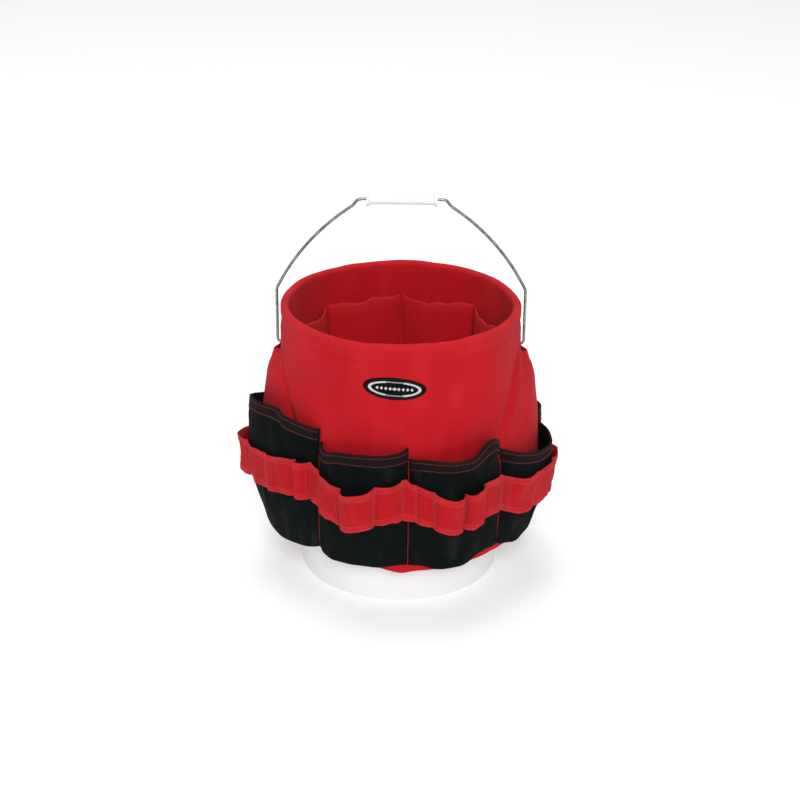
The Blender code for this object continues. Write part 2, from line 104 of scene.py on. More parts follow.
# How far each mouth rises or dips along it: (share of the way from its left seam to its right one, height).
MOUTHS = (
    (
        (0, -0.011), (0.1, -0.006), (0.45, -0.01), (0.56, -0.007), (0.7, 0.007), (0.8, 0.008),
        (0.9, -0.002), (1, -0.017),
    ),
    ((0, 0.014), (0.13, 0.006), (0.27, -0.001), (0.42, -0.006), (0.73, -0.011), (1, -0.004)),
    ((0, 0.004), (0.42, -0.002), (1, 0.004)),
    ((0, 0.002), (0.42, -0.001), (1, 0.006)),
    ((0, 0.005), (0.42, -0.002), (1, 0.004)),
    ((0, 0.006), (0.58, -0.002), (1, 0.003)),
    ((0, -0.024), (0.13, -0.014), (0.27, -0.004), (0.42, 0.002), (0.58, 0.007), (0.73, 0.005), (1, -0.003)),
    ((0, -0.003), (0.12, -0.008), (0.3, -0.001), (0.6, 0.003), (0.87, 0.002), (1, 0.004)),
)
# How far the cloth hangs below each pocket's bottom seam, by azimuth.
POCKET_SAG = (
    (0, 0.003), (11, 0.004), (17, 0.015), (30, 0.017), (36, 0.006), (45, 0.003), (52, 0.008), (62, 0.015),
    (90, 0.012), (120, 0.017), (140, 0.01), (165, 0.016), (185, 0.009), (205, 0.016), (240, 0.013),
    (282, 0.013), (302, 0.014), (309, 0.013), (316, 0.008), (322, 0.004), (328, 0.011), (338, 0.0105),
    (346, 0.0105), (353, 0.01), (360, 0.003),
)
# How far the foot of the cloth is pulled up, by azimuth.
FOOT_LIFT = (
    (0, 0.003), (30, 0.003), (45, 0.004), (60, 0.004), (80, 0.003), (110, 0.0), (250, 0.0), (265, 0.003),
    (282, 0.006), (302, 0.008), (309, 0.009), (315.5, 0.014), (321.5, 0.02), (328.5, 0.013), (338, 0.011),
    (346.5, 0.008), (353, 0.005), (360, 0.003),
)

# The webbing: its lower edge by azimuth, and each span between lines of stitching with how far it stands off.
WEBBING_WIDTH = 0.052
WEBBING_HEM = 0.0085
WEBBING_CLOTH = 0.0014
WEBBING_GAP = 0.0014
SEAM_CROSSING = 2.6
WEBBING_LINE = (
    (0, 0.144), (10, 0.139), (20, 0.129), (28, 0.13), (36, 0.1365), (44, 0.1355), (51, 0.123), (58, 0.113),
    (70, 0.115), (108, 0.116), (144, 0.124), (180, 0.136), (220, 0.134), (252, 0.133), (282, 0.135),
    (300, 0.143), (318, 0.1545), (325, 0.145), (340, 0.133), (352, 0.144), (360, 0.144),
)
WEBBING_SPANS = (
    (6.6, 13, 0.002), (13, 25, 0.014), (25, 34, 0.012), (34, 47.4, 0.003), (52.6, 65, 0.003), (65, 78, 0.002),
    (78, 92.4, 0.004), (97.6, 110, 0.002), (110, 124, 0.013), (124, 133.4, 0.002), (138.6, 150, 0.003),
    (150, 163, 0.016), (163, 174.4, 0.002), (179.6, 190, 0.002), (190, 204, 0.015), (204, 215.4, 0.003),
    (220.6, 231, 0.002), (231, 245, 0.015), (245, 257.4, 0.003), (262.6, 267, 0.001), (267, 281, 0.0102),
    (281, 297, 0.002), (297, 314, 0.003), (314, 319.9, 0.012), (325.1, 337.5, 0.003), (337.5, 351, 0.017),
    (351, 361.4, 0.003),
)
WEBBING_STOPS = sorted({stop for start, end, _ in WEBBING_SPANS for stop in (start, end)})

# The inner pockets.
INNER_POCKETS = 8
INNER_SPAN = 45
INNER_BOTTOM = 0.15
INNER_TOP = 0.322
INNER_DEPTH = 0.024

# The badge.
BADGE_HEIGHT = 0.315
BADGE_ACROSS = -0.007
BADGE_WIDTH = 0.08
BADGE_TALL = 0.029
BADGE_TILT = 3.2
BADGE_FACE = 0.0015
BADGE_RAISED = 0.0006

# The fitted camera: degrees down, degrees of roll, distance, lens in millimetres, and what it looks at.
CAMERA_TILT = 24.9
CAMERA_ROLL = 0.55
CAMERA_DISTANCE = 2.525
CAMERA_LENS = 85.39
CAMERA_SHIFT = (0.0001, 0.0251)
CAMERA_TARGET = (0, 0, 0.2)


# Helpers for shapes


def noise(azimuth, height, around, cell, seed):
    """Smooth noise from -1 to 1, with so many cells right round and one each cell metres of height."""
    table = np.random.default_rng(seed).uniform(-1, 1, (around, 64))
    u, v = np.broadcast_arrays(azimuth * around / 360, height / cell + 17)
    column, row = np.floor(u).astype(int), np.floor(v).astype(int)
    s, t = u - column, v - row
    s, t = s * s * (3 - 2 * s), t * t * (3 - 2 * t)
    left, right, low, high = column % around, (column + 1) % around, row % 64, (row + 1) % 64
    below = table[left, low] * (1 - s) + table[right, low] * s
    above = table[left, high] * (1 - s) + table[right, high] * s
    return below * (1 - t) + above * t


def ripple(azimuth, around, seed):
    """Noise that changes with the azimuth alone."""
    return noise(azimuth, azimuth * 0, around, 1.0, seed)


def wrapped(angle):
    """An angle brought to between -180 and 180 degrees."""
    return (angle + 180) % 360 - 180


def bump(distance, width):
    """A smooth hill of height 1 where the distance is 0."""
    return np.exp(-((distance / width) ** 2))


def read_off(place, table):
    places, values = zip(*table)
    return np.interp(place, places, values)


def softened(place, table, reach):
    """read_off with its corners rounded."""
    return sum(read_off(place + shift * reach, table) for shift in (-1, -0.5, 0, 0.5, 1)) / 5


def at(azimuth, radius, height):
    """Points at an azimuth in degrees, a radius and a height."""
    angle = np.radians(azimuth)
    return np.stack(np.broadcast_arrays(radius * np.sin(angle), -radius * np.cos(angle), height), -1)


def unit(vectors):
    return vectors / np.maximum(np.linalg.norm(vectors, axis=-1, keepdims=True), 1e-12)


def run_along(points):
    """How far along a line each of its points is."""
    return np.concatenate([[0], np.cumsum(np.linalg.norm(np.diff(points, axis=0), axis=1))])


def read_along(places, run, values):
    return np.stack([np.interp(places, run, values[:, k]) for k in range(3)], -1)


def normals(points, closed=False):
    """The outward normals of a grid of points that runs along azimuth, then upwards."""
    if closed:
        across = np.roll(points, -1, 0) - np.roll(points, 1, 0)
    else:
        across = np.gradient(points, axis=0)
    return unit(np.cross(across, np.gradient(points, axis=1)))


# Helpers for pieces


def add_object(name, data):
    item = bpy.data.objects.new(name, data)
    bpy.context.scene.collection.objects.link(item)
    return item


def new_mesh(name, points, faces):
    mesh = bpy.data.meshes.new(name)
    mesh.from_pydata(points, [], faces)
    return mesh


def add_piece(name, mesh, material, slot=None, replaced=(), body="organizer"):
    """A piece that rides on a body and stands for some CAD nodes."""
    piece = add_object(name, mesh)
    mesh.materials.append(material)
    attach(piece, body)
    if replaced:
        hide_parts(*replaced)
    return piece


def grid_mesh(name, points, wraps, tone):
    """A mesh from a grid of points, with UVs in metres.

    If it wraps only the second way, its ends are capped.
    """
    n, m = points.shape[:2]
    spans = [np.arange(count if wrap else count - 1) for count, wrap in zip((n, m), wraps)]
    i, j = np.meshgrid(*spans, indexing="ij")
    ends = ((i, j), (i + 1, j), (i + 1, j + 1), (i, j + 1))
    faces = np.stack([a % n * m + b % m for a, b in ends], -1).reshape(-1, 4)
    steps_u = np.linalg.norm(np.roll(points, -1, 0) - points, axis=-1).mean(1)
    steps_v = np.linalg.norm(np.roll(points, -1, 1) - points, axis=-1).mean(0)
    u, v = np.concatenate([[0], np.cumsum(steps_u)]), np.concatenate([[0], np.cumsum(steps_v)])
    uvs = np.stack([np.stack([u[a], v[b]], -1) for a, b in ends], 2).reshape(-1, 2)
    faces = faces.tolist()
    if wraps[1] and not wraps[0]:
        faces.append(list(range(m))[::-1])
        faces.append([(n - 1) * m + k for k in range(m)])
        uvs = np.concatenate([uvs, np.zeros((2 * m, 2))])
    mesh = new_mesh(name, points.reshape(-1, 3).tolist(), faces)
    layer = mesh.uv_layers.new(name="UVMap")
    layer.data.foreach_set("uv", uvs.reshape(-1).astype(np.float32))
    values = np.broadcast_to(tone, (n, m)).reshape(-1)
    attribute = mesh.attributes.new("tone", "FLOAT", "POINT")
    attribute.data.foreach_set("value", values.astype(np.float32))
    mesh.shade_smooth()
    return mesh


def add_grid(name, points, wraps, tone, *looks):
    """A piece made from a grid of points. The rest is what add_piece takes from its material on."""
    return add_piece(name, grid_mesh(name, points, wraps, tone), *looks)


def folded(points, cloth, closed=False):
    """The closed section of cloth behind a grid of points: up the outside, then down the inside."""
    inner = points - normals(points, closed) * cloth
    return np.concatenate([points, inner[:, ::-1]], 1)


def rounded(corners, radius, steps=5):
    """A profile with its corners cut by arcs."""
    corners = [Vector(corner) for corner in corners]
    points = [corners[0]]
    for before, corner, after in zip(corners, corners[1:], corners[2:]):
        back, on = before - corner, after - corner
        reach = min(radius, back.length * 0.45, on.length * 0.45)
        start, end = corner + back.normalized() * reach, corner + on.normalized() * reach
        for step in range(steps + 1):
            share = step / steps
            points.append(start * (1 - share) ** 2 + corner * 2 * share * (1 - share) + end * share**2)
    points.append(corners[-1])
    return [tuple(point) for point in points]


def tube(path, radius, side, sides):
    """A grid of points round a path that stays in the plane square to side."""
    across = np.cross(unit(np.gradient(path, axis=0)), side)
    turn = np.linspace(0, 2 * np.pi, sides, endpoint=False)[None, :, None]
    ring = np.cos(turn) * across[:, None] + np.sin(turn) * np.array(side)[None, None]
    return path[:, None] + radius * ring


def stitches(name, lines, material, length, gap, thick):
    """Thread laid along lines of (points, normals): a small rounded stitch, then a gap, and so on."""
    stations = np.array([-1, -0.82, -0.4, 0.4, 0.82, 1.0])
    swell = np.array([0.15, 0.72, 1.0, 1.0, 0.72, 0.15])
    turn = np.linspace(0, 2 * np.pi, 6, endpoint=False)
    blocks = []
    for points, facing in lines:
        run = run_along(points)
        count = int((run[-1] - gap) / (length + gap))
        if count < 1:
            continue
        middle = (np.arange(count) + 0.5) * run[-1] / count
        start, end = (read_along(middle + shift, run, points) for shift in (-length / 2, length / 2))
        up = unit(read_along(middle, run, facing))
        along = unit(end - start)
        side = np.cross(along, up)
        centre = (start + end) / 2 + up * thick * 0.35
        ring = np.cos(turn)[:, None, None] * side + np.sin(turn)[:, None, None] * up
        body = centre + stations[:, None, None, None] * along * length / 2
        body = body + swell[:, None, None, None] * ring[None] * thick
        body -= (stations**2)[:, None, None, None] * up * thick * 0.7
        blocks.append(body.transpose(2, 0, 1, 3))
    body = np.concatenate(blocks)
    count, n, m = body.shape[:3]
    i, j = np.meshgrid(np.arange(n - 1), np.arange(m), indexing="ij")
    start, following = i * m + j, i * m + (j + 1) % m
    quads = np.stack([start, following, following + m, start + m], -1).reshape(-1, 4)
    faces = (quads[None] + np.arange(count)[:, None, None] * n * m).reshape(-1, 4)
    mesh = new_mesh(name, body.reshape(-1, 3).tolist(), faces.tolist())
    mesh.shade_smooth()
    return add_piece(name, mesh, material)


# Materials


class Nodes:
    """A short way to build a material's nodes."""

    def __init__(self, name):
        self.material = bpy.data.materials.new(name)
        self.material.use_nodes = True
        self.tree = self.material.node_tree
        self.shader = self.tree.nodes["Principled BSDF"]

    def add(self, kind, **settings):
        node = self.tree.nodes.new(kind)
        for key, value in settings.items():
            setattr(node, key, value)
        return node

    def put(self, value, socket):
        """Set a socket to a number or a colour, or wire another socket to it."""
        if isinstance(value, (int, float)):
            socket.default_value = value
        elif isinstance(value, tuple):
            socket.default_value = (*value, 1.0)
        else:
            self.tree.links.new(value, socket)

    def feed(self, name, source):
        self.put(source, self.shader.inputs[name])

    def fix(self, name, value):
        self.shader.inputs[name].default_value = value

    def math(self, operation, *values):
        node = self.add("ShaderNodeMath", operation=operation)
        for value, socket in zip(values, node.inputs):
            self.put(value, socket)
        return node.outputs[0]

    def noise(self, scale, detail, roughness=0.55, stretch=(1, 1, 1)):
        """Noise fixed to the object, drawn out along its axes."""
        place = self.add("ShaderNodeTexCoord").outputs["Object"]
        mapping = self.add("ShaderNodeMapping")
        mapping.inputs["Scale"].default_value = stretch
        self.put(place, mapping.inputs["Vector"])
        node = self.add("ShaderNodeTexNoise")
        node.inputs["Scale"].default_value = scale
        node.inputs["Detail"].default_value = detail
        node.inputs["Roughness"].default_value = roughness
        self.put(mapping.outputs[0], node.inputs["Vector"])
        return node.outputs["Fac"]

    def mix(self, share, low, high):
        node = self.add("ShaderNodeMix", data_type="RGBA")
        for value, place in ((share, 0), (low, 6), (high, 7)):
            self.put(value, node.inputs[place])
        return node.outputs[2]

    def spread(self, value, low, high, new_low, new_high):
        node = self.add("ShaderNodeMapRange")
        for number, socket in zip((value, low, high, new_low, new_high), node.inputs):
            self.put(number, socket)
        return node.outputs[0]

    def relief(self, height, depth, after=None):
        """Bump of a depth in metres, on top of another bump."""
        node = self.add("ShaderNodeBump")
        node.inputs["Strength"].default_value = 1.0
        node.inputs["Distance"].default_value = depth
        self.put(height, node.inputs["Height"])
        if after is not None:
            self.put(after, node.inputs["Normal"])
        return node.outputs[0]


def shade(colour, share, more=0.0):
    return tuple(min(channel * share + more, 1.0) for channel in colour)


def woven(name, colour, pitch, relief=0.00012, roughness=0.86, sheen=0.03, lift=1.18, dust=0.0, gloss=0.12):
    """Woven cloth: crossed threads from the UVs, slubs, soft patches of colour, and lighter where the tone
    attribute is high. That is wear in places, and painted highlight along the rim and the webbing's hems.
    """
    n = Nodes(name)
    split = n.add("ShaderNodeSeparateXYZ")
    n.put(n.add("ShaderNodeUVMap", uv_map="UVMap").outputs[0], split.inputs[0])
    warp, weft = (n.math("SINE", n.math("MULTIPLY", way, 2 * math.pi / pitch)) for way in split.outputs[:2])
    weave = n.math("MULTIPLY", warp, weft)
    slub = n.noise(900, 2.0, 0.6, (1, 1, 0.25))
    cross = n.noise(900, 2.0, 0.6, (0.25, 0.25, 1))
    patches = n.noise(11, 4.0)
    yarn = n.math("ADD", slub, cross)
    base = n.mix(n.spread(patches, 0.3, 0.7, 0, 1), shade(colour, 0.84), colour)
    base = n.mix(n.spread(yarn, 0.7, 1.3, 0, 0.35), base, shade(colour, lift))
    base = n.mix(n.spread(weave, -1, 1, 0.22, 0), base, shade(colour, 0.55))
    tone = n.add("ShaderNodeAttribute", attribute_name="tone").outputs["Fac"]
    # Lightened where the tone attribute is high: painted highlight on the rim roll and the webbing's hems,
    # and wear elsewhere.
    lightening = n.math("MULTIPLY", tone, n.spread(n.noise(60, 3.0), 0.35, 0.65, 0.55, 1.0))
    base = n.mix(lightening, base, shade(colour, 1.25, 0.018))
    if dust:
        lint = n.spread(n.noise(240, 5.0, 0.7), 0.6, 0.75, 0, dust)
        base = n.mix(lint, base, (0.1, 0.11, 0.11))
    n.feed("Base Color", base)
    mottle = n.math("ADD", weave, n.math("MULTIPLY", patches, 2.0))
    n.feed("Roughness", n.spread(mottle, -1, 3, roughness - 0.08, roughness + 0.08))
    n.fix("Sheen Weight", sheen)
    n.fix("Sheen Roughness", 0.45)
    n.fix("Specular IOR Level", gloss)
    threads = n.relief(yarn, relief * 1.6, n.relief(weave, relief))
    n.feed("Normal", n.relief(n.noise(75, 3.0), 0.0007, threads))
    return n.material


def thread(name, colour):
    """Twisted polyester thread."""
    n = Nodes(name)
    twist = n.noise(2600, 1.0, 0.5, (1, 1, 0.4))
    n.feed("Base Color", n.mix(n.spread(twist, 0.35, 0.65, 0, 1), shade(colour, 0.6), colour))
    n.feed("Roughness", n.spread(twist, 0.3, 0.7, 0.45, 0.65))
    n.feed("Normal", n.relief(twist, 0.0001))
    return n.material


def moulded(name, colour, roughness, scuff, translucent=0.0, gloss=0.5):
    """Moulded plastic: a faint orange-peel skin, soft patches and fine scuffs."""
    n = Nodes(name)
    scuffs = n.noise(38, 8.0, 0.75, (1, 1, 3.5))
    patches = n.noise(7, 3.0)
    base = n.mix(n.spread(patches, 0.3, 0.7, 0, 0.5), colour, shade(colour, 0.95))
    n.feed("Base Color", n.mix(n.spread(scuffs, 0.6, 0.78, 0, 1), base, shade(colour, 1 - scuff)))
    n.feed("Roughness", n.spread(scuffs, 0.35, 0.75, roughness, roughness + 0.22))
    n.fix("Specular IOR Level", gloss)
    n.fix("Subsurface Weight", translucent)
    n.fix("Subsurface Radius", (0.006, 0.006, 0.005))
    peel = n.relief(n.noise(420, 2.0), 0.00005)
    n.feed("Normal", n.relief(scuffs, 0.00012, peel))
    return n.material


def drawn_steel(name):
    """Galvanised wire: drawn along its length, with dull spangle."""
    n = Nodes(name)
    spangle = n.noise(170, 4.0, 0.6)
    streak = n.noise(1500, 2.0, 0.5, (0.15, 1, 0.15))
    n.feed("Base Color", n.mix(n.spread(spangle, 0.35, 0.65, 0, 1), (0.2, 0.205, 0.205), (0.4, 0.41, 0.41)))
    n.fix("Metallic", 1.0)
    n.feed("Roughness", n.spread(spangle, 0.3, 0.7, 0.3, 0.52))
    n.feed("Normal", n.relief(streak, 0.00006))
    return n.material


RED_CLOTH = woven("red_cloth", (0.545, 0.0082, 0.015), 0.0011)
RED_WEBBING = woven("red_webbing", (0.475, 0.0075, 0.012), 0.0014, relief=0.00016, lift=1.25)
BLACK_CLOTH = woven("black_cloth", (0.003, 0.005, 0.0048), 0.0012, 0.00014, 0.86, 0.006, 1.9, 0.05, 0.05)
TAPE = woven("binding_tape", (0.01, 0.0068, 0.0066), 0.0009, sheen=0.01, lift=1.6, gloss=0.06)
RED_THREAD = thread("red_thread", (0.3, 0.02, 0.023))
SEAM_THREAD = thread("seam_thread", (0.5, 0.02, 0.026))
WEBBING_THREAD = thread("webbing_thread", (0.62, 0.045, 0.06))
BLACK_THREAD = thread("black_thread", (0.02, 0.02, 0.02))
WHITE_PLASTIC = moulded("white_plastic", (0.85, 0.85, 0.845), 0.32, 0.08, 0.15)
GRIP_PLASTIC = moulded("grip_plastic", (0.84, 0.84, 0.83), 0.38, 0.08)
BADGE_RUBBER = moulded("badge_rubber", (0.0025, 0.0025, 0.003), 0.5, 0.0, gloss=0.06)
BADGE_PRINT = moulded("badge_print", (0.52, 0.53, 0.54), 0.45, 0.1)
STEEL = drawn_steel("steel_wire")


# The shape of the cloth


def pail_wall(height):
    return BASE_RADIUS + (WALL_TOP_RADIUS - BASE_RADIUS) * height / PAIL_HEIGHT


def from_ear(azimuth):
    """Degrees from the nearer ear."""
    return np.abs(np.abs(wrapped(azimuth)) - 90)


def crease(azimuth, height, line, depth, width):
    """A valley along a line of (height, azimuth) pairs, fading at its ends, with a soft ridge beside it."""
    distance = wrapped(azimuth - read_off(height, line))
    fade = np.clip((height - line[0][0]) / 0.02, 0, 1) * np.clip((line[-1][0] - height) / 0.015, 0, 1)
    valley = bump(distance, width) - 0.55 * bump(distance - 1.9 * width, 1.2 * width)
    return -depth * valley * fade * fade * (3 - 2 * fade)


# Creases that run down from the ears: (depth, width in degrees, (height, azimuth) pairs upwards).
CREASES = (
    (0.004, 3.3, ((0.175, 45), (0.235, 53), (0.28, 66), (0.327, 82))),
    (0.0012, 2.6, ((0.21, 70), (0.25, 75), (0.3, 84))),
    (0.0034, 3.3, ((0.18, 310), (0.235, 303), (0.285, 291), (0.327, 279))),
    (0.001, 2.6, ((0.2, 285), (0.25, 283), (0.305, 277))),
    (0.003, 3.2, ((0.18, 131), (0.235, 126), (0.285, 112), (0.327, 98))),
    (0.001, 2.6, ((0.2, 106), (0.25, 103), (0.305, 96))),
    (0.003, 3.2, ((0.18, 228), (0.24, 235), (0.285, 248), (0.327, 262))),
    (0.001, 2.6, ((0.2, 256), (0.25, 258), (0.305, 264))),
    (0.0012, 3.0, ((0.19, 22), (0.25, 26), (0.31, 34))),
    (0.001, 3.0, ((0.2, 336), (0.26, 331), (0.31, 326))),
)


def skirt(azimuth, height):
    """The outer face of the red cloth on the outside of the pail."""
    spread = softened(height, TENT_SPREAD, 0.004)
    share = np.clip(1 - from_ear(azimuth) / spread, 0, 1)
    tent = 0.65 * (1 - np.cos(np.pi * share)) / 2 + 0.35 * share ** 1.15
    radius = softened(height, SKIRT_PROFILE, 0.012) + SKIRT_CLOTH
    radius = radius + softened(height, TENT_DEPTH, 0.004) * tent
    calm = np.clip((0.362 - height) / 0.03, 0.2, 1)
    near_slit = np.clip((from_ear(azimuth) - 4) / 8, 0, 1)
    quiet = np.where(height > 0.29, near_slit, 1.0)
    radius = radius + 0.0011 * noise(azimuth, height, 22, 0.085, 3) * calm * quiet
    radius = radius + 0.00045 * noise(azimuth, height, 64, 0.06, 4) * calm * quiet
    radius = radius + 0.00022 * noise(azimuth, height, 150, 0.022, 5) * quiet
    radius = radius + 0.00035 * noise(azimuth + 90 * height, height, 13, 0.014, 7) * quiet
    for depth, width, line in CREASES:
        radius = radius + crease(azimuth, height, line, depth, width) * np.where(height > 0.29, quiet, 1.0)
    # A faint line across the front, then the dip and swell under the rim.
    sway = 0.002 * noise(azimuth, height, 12, 1.0, 6)
    radius = radius - 0.0007 * bump(height - 0.288 - sway, 0.0022) * bump(wrapped(azimuth), 42.0)
    radius = radius - 0.0012 * bump(height - 0.35, 0.0045)
    return radius + 0.0005 * bump(height - 0.36, 0.005)


def foot_lift(azimuth, height):
    """How far the cloth is pulled up at a place near its foot."""
    return softened(azimuth % 360, FOOT_LIFT, 2.0) * np.clip((0.085 - height) / 0.026, 0, 1)


def pocket_place(azimuth):
    """Which pocket is at each azimuth, the degrees from its left seam, and the degrees between its seams."""
    edges = np.array(POCKET_EDGES)
    turn = (azimuth - edges[0]) % 360 + edges[0]
    index = np.clip(np.searchsorted(edges, turn, side="right") - 1, 0, len(POCKET_SEAMS) - 1)
    return index, turn - edges[index], (edges[1:] - edges[:-1])[index]


def mouth(index, across):
    """The height of an outer pocket's mouth, at a share of the way across it."""
    return POCKET_TOPS[index] + softened(across, MOUTHS[index], 0.05)


def pocket(azimuth, height):
    """The outer face of the black pockets: sewn down at their sides and bottom, full in the middle."""
    azimuth, height = np.broadcast_arrays(azimuth, height)
    index, along, span = pocket_place(azimuth)
    top = np.zeros(azimuth.shape)
    for number in range(len(POCKET_SEAMS)):
        top = np.where(index == number, mouth(number, along / span), top)
    depth = POCKET_DEPTH_FRONT + (POCKET_DEPTH_SIDE - POCKET_DEPTH_FRONT) * np.sin(np.radians(azimuth)) ** 2
    up = np.clip((height - POCKET_BOTTOM) / (top - POCKET_BOTTOM), 0, 1.08)
    belly = (1 - (1 - np.minimum(up, 1)) ** 2.4) * (1 - 0.1 * up**3)
    across = np.clip((along - 0.5) / (span - 1), 0, 1)
    width = np.sin(np.pi * across) ** 0.62
    radius = skirt(azimuth, height) + LAYER_GAP + POCKET_CLOTH + depth * width * belly
    low = 1 - np.clip((height - 0.1) / 0.1, 0, 1)
    wrinkle = 0.0022 * noise(azimuth, height, 38, 0.055, 11) + 0.0013 * noise(azimuth, height, 84, 0.028, 12)
    sharp = 1 - np.abs(noise(azimuth + 160 * (height - 0.1), height, 48, 0.07, 13)) * 2
    wrinkle = wrinkle + 0.0016 * np.clip(sharp, -0.4, 1) * (0.35 + 0.65 * low)
    return radius + wrinkle * np.minimum(width * 1.3, 1) * np.minimum(up * 5, 1)


def webbing_rise(azimuth):
    """How far the webbing stands off the pockets: nothing at its stitching, and a loop between."""
    rise = np.zeros(azimuth.shape)
    for start, end, height in WEBBING_SPANS:
        share = np.clip((azimuth - start) % 360 / (end - start), 0, 1)
        power = 0.42 if height > 0.006 else 0.8
        rise = rise + height * np.maximum(np.sin(np.pi * share), 0) ** power
    return rise


def webbing(azimuth, height):
    """The outer face of the webbing. It bridges each seam from one pocket to the next."""
    away = wrapped(azimuth[..., None] - np.array(POCKET_SEAMS))
    away = np.take_along_axis(away, np.abs(away).argmin(-1)[..., None], -1)[..., 0]
    seam = azimuth - away
    share = np.clip(away / SEAM_CROSSING, -1, 1)
    left, right = pocket(seam - SEAM_CROSSING, height), pocket(seam + SEAM_CROSSING, height)
    bridge = left + (right - left) * (share + 1) / 2
    base = np.where(np.abs(away) < SEAM_CROSSING, bridge, pocket(azimuth, height))
    return base + WEBBING_GAP + WEBBING_CLOTH + webbing_rise(azimuth)


# The pieces


def make_pail():
    """The pail, with a rolled rim, two ribs, a foot ring and an ear at each side."""
    profile = [(0.0, 0.0022), (0.121, 0.0022), (0.1235, 0.0)]
    profile += [(BASE_RADIUS - 0.0004, 0.0), (BASE_RADIUS + 0.0004, 0.004)]
    for height in RIB_HEIGHTS:
        wall = pail_wall(height)
        profile += [(pail_wall(height - 0.004), height - 0.004), (wall + 0.0022, height - 0.002)]
        profile += [(wall + 0.0022, height + 0.002), (pail_wall(height + 0.004), height + 0.004)]
    under = PAIL_HEIGHT - RIM_DEPTH
    profile += [(pail_wall(under - 0.001), under - 0.001), (RIM_RADIUS - 0.001, under)]
    profile += [(RIM_RADIUS, under + 0.002), (RIM_RADIUS, PAIL_HEIGHT - 0.001)]
    profile += [(WALL_TOP_RADIUS - WALL, PAIL_HEIGHT), (pail_wall(FLOOR_TOP) - WALL, FLOOR_TOP)]
    profile.append((0.0, FLOOR_TOP))
    radius, height = np.array(rounded(profile, 0.0022)).T
    points = at(np.arange(256)[:, None] * 360 / 256, radius, height)
    add_grid("pail_shell", points, (True, False), 0, WHITE_PLASTIC, "white_plastic", ["pail"])
    face = [(EAR_BORE_END - 0.004, EAR_RADIUS + 0.0012), (EAR_BORE_END + 0.002, EAR_RADIUS)]
    face += [(EAR_FACE, EAR_RADIUS), (EAR_FACE, 0.006), (EAR_FACE - 0.0012, 0.0056)]
    face += [(EAR_FACE - 0.0012, 0.0027), (EAR_BORE_END, 0.0025), (EAR_BORE_END, 0.0)]
    for side, name in ((1, "right"), (-1, "left")):
        along, radius = np.array(rounded(face, 0.0007, 3)).T
        turn = np.linspace(0, 2 * np.pi, 64, endpoint=False)[:, None] * side
        z = PIVOT_HEIGHT + radius * np.sin(turn)
        points = np.stack(np.broadcast_arrays(side * along[None], radius * np.cos(turn), z), -1)
        add_grid(f"pail_ear_{name}", points, (True, False), 0, WHITE_PLASTIC, "white_plastic")


def bail_path():
    """The bail's centreline from ear to ear, resampled and with its kinks rounded."""
    bend = 0.0045
    half = [(EAR_BORE_END + 0.0006, PIVOT_HEIGHT)]
    for turn in np.linspace(0, math.pi / 2, 9):
        half.append((LEG_X - bend + bend * math.sin(turn), PIVOT_HEIGHT + bend - bend * math.cos(turn)))
    half.append((LEG_X, LEG_TOP))
    start, end = np.array((LEG_X, LEG_TOP)), np.array(SHOULDER)
    outward = unit(np.array((end[1] - start[1], start[0] - end[0])))
    for share in np.linspace(0.02, 1, 40):
        half.append(tuple(start + (end - start) * share + outward * ARCH_RISE * 4 * share * (1 - share)))
    half += [(SHOULDER[0] - 0.006, GRIP_HEIGHT - 0.0015), (SHOULDER[0] - 0.01, GRIP_HEIGHT)]
    path = np.array([(-x, 0, z) for x, z in half] + [(x, 0, z) for x, z in reversed(half)])
    run = run_along(path)
    path = read_along(np.linspace(0, run[-1], 900), run, path)
    for _ in range(10):
        path[1:-1] = (path[:-2] + 2 * path[1:-1] + path[2:]) / 4
    return path


def make_bail():
    """The wire bail, with its hooked ends cut square and filed round."""
    path = bail_path()
    radius = np.full(len(path), WIRE_RADIUS)
    radius[0] = radius[-1] = WIRE_RADIUS * 0.7
    points = tube(path, radius[:, None, None], (0, 1, 0), 20)
    add_grid("bail_steel", points, (False, True), 0, STEEL, "steel_wire", ["bail_wire"], "bail")


def make_grip():
    """The white grip: a barrelled tube with a flange at each end and a faint mould line."""
    half, neck = GRIP_LENGTH / 2, GRIP_LENGTH / 2 - GRIP_FLANGE_WIDTH
    side = [(GRIP_BORE_RADIUS, half - 0.001), (GRIP_BORE_RADIUS + 0.0006, half), (GRIP_FLANGE_RADIUS, half)]
    side += [(GRIP_FLANGE_RADIUS, neck), (GRIP_RADIUS, neck - 0.0012)]
    places = np.linspace(neck * 0.93, -neck * 0.93, 25)
    barrel = [(GRIP_RADIUS - 0.0003 * (1 - (x / neck) ** 2), x) for x in places]
    profile = side + barrel + [(radius, -x) for radius, x in reversed(side)]
    profile = rounded(profile, 0.001, 4) + [(GRIP_BORE_RADIUS, half - 0.001)]
    radius, along = np.array(profile).T
    turn = np.linspace(0, 2 * np.pi, 96, endpoint=False)[:, None]
    ridge = 1 + 0.012 * (bump((turn - np.pi), 0.05) + bump(turn, 0.05))
    wide = np.where(radius[None] > 0.004, radius[None] * ridge, radius[None])
    y, z = wide * np.sin(turn), GRIP_HEIGHT + wide * np.cos(turn)
    points = np.stack(np.broadcast_arrays(along[None], y, z), -1)
    add_grid("grip_handle", points, (True, False), 0, GRIP_PLASTIC, "white_plastic", ["bail_grip"], "grip")


def lining(height):
    """The radius of the lining's face."""
    return pail_wall(height) - WALL - LINER_GAP - SKIRT_CLOTH


def half_slit(height):
    """Half the width of the slit at each ear, in degrees."""
    share = np.clip((height - SLIT_BOTTOM) / (SLIT_TOP - SLIT_BOTTOM), 0, 1)
    return SLIT_HALF_ANGLE * (1 - np.abs(2 * share - 1) ** 3.2) ** 0.5


